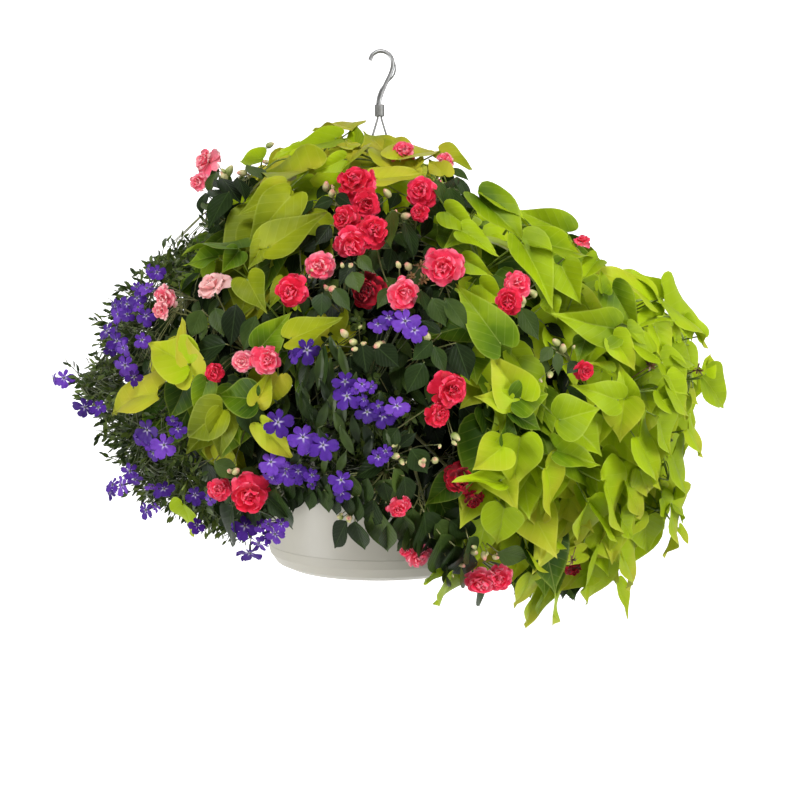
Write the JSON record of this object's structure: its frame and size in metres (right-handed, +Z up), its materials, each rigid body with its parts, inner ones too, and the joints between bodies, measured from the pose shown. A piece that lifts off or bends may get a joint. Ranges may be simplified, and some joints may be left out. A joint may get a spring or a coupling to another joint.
{
  "type": "mixed hanging basket",
  "caption": "Round plastic hanging pot with a saucer and wire hanger, overflowing with lime trailing vines, red double blooms and violet lobelia.",
  "frame": {"origin": "top of the space inside the hook's bow, where the hook rests on what it hangs from", "axes": "+Z up along the hanging line, the viewer of the picture looks along +Y, +X to the viewer's right"},
  "size_m": [0.7966, 0.7217, 0.691],
  "materials": {
    "pot_plastic": "smooth off-white",
    "saucer_plastic": "smooth off-white",
    "compost": "moist bark-based compost",
    "galvanised_steel": "bright galvanised",
    "lime_leaf": "lime green leaf, satin",
    "impatiens_leaf": "dark green leaf, satin",
    "lobelia_leaf": "green leaf, matt",
    "red_petal": "red petal, velvety",
    "violet_petal": "violet petal, matt"
  },
  "bodies": {
    "root": {"blooms_back": "red_petal", "blooms_bottom_left": "red_petal", "blooms_bottom_right": "red_petal", "blooms_centre": "red_petal", "blooms_crown": "red_petal", "blooms_far_right": "red_petal", "blooms_front": "red_petal", "blooms_left": "red_petal", "blooms_left_centre": "red_petal", "blooms_low_left": "red_petal", "blooms_low_right": "red_petal", "blooms_middle": "red_petal", "blooms_pot_side": "red_petal", "blooms_right": "red_petal", "blooms_right_centre": "red_petal", "blooms_shade": "red_petal", "blooms_top_left": "red_petal", "blooms_top_right": "red_petal", "blooms_upper_centre": "red_petal", "hook": "galvanised_steel", "impatiens_back": "impatiens_leaf", "impatiens_centre": "impatiens_leaf", "impatiens_front": "impatiens_leaf", "impatiens_front_left": "impatiens_leaf", "impatiens_left": "impatiens_leaf", "impatiens_right": "impatiens_leaf", "lime_vine_back_left": "lime_leaf", "lime_vine_back_right": "lime_leaf", "lime_vine_bottom_right": "lime_leaf", "lime_vine_front_right": "lime_leaf", "lime_vine_left": "lime_leaf", "lime_vine_low_right": "lime_leaf", "lime_vine_right": "lime_leaf", "lime_vine_top": "lime_leaf", "lime_vine_top_left": "lime_leaf", "lime_vine_upper_right": "lime_leaf", "lobelia_back_left": "lobelia_leaf", "lobelia_bottom_left": "lobelia_leaf", "lobelia_centre": "lobelia_leaf", "lobelia_left": "lobelia_leaf", "lobelia_low_left": "lobelia_leaf", "pot": "pot_plastic", "saucer": "saucer_plastic", "soil": "compost", "violets_back": "violet_petal", "violets_bottom_left": "violet_petal", "violets_centre": "violet_petal", "violets_centre_left": "violet_petal", "violets_far_left": "violet_petal", "violets_left": "violet_petal", "violets_low_centre": "violet_petal", "violets_low_hang": "violet_petal", "violets_low_left": "violet_petal", "violets_lower_left": "violet_petal", "violets_upper_centre": "violet_petal", "violets_upper_left": "violet_petal", "wire_1": "galvanised_steel", "wire_2": "galvanised_steel", "wire_3": "galvanised_steel", "wire_4": "galvanised_steel"}
  },
  "joints": []
}
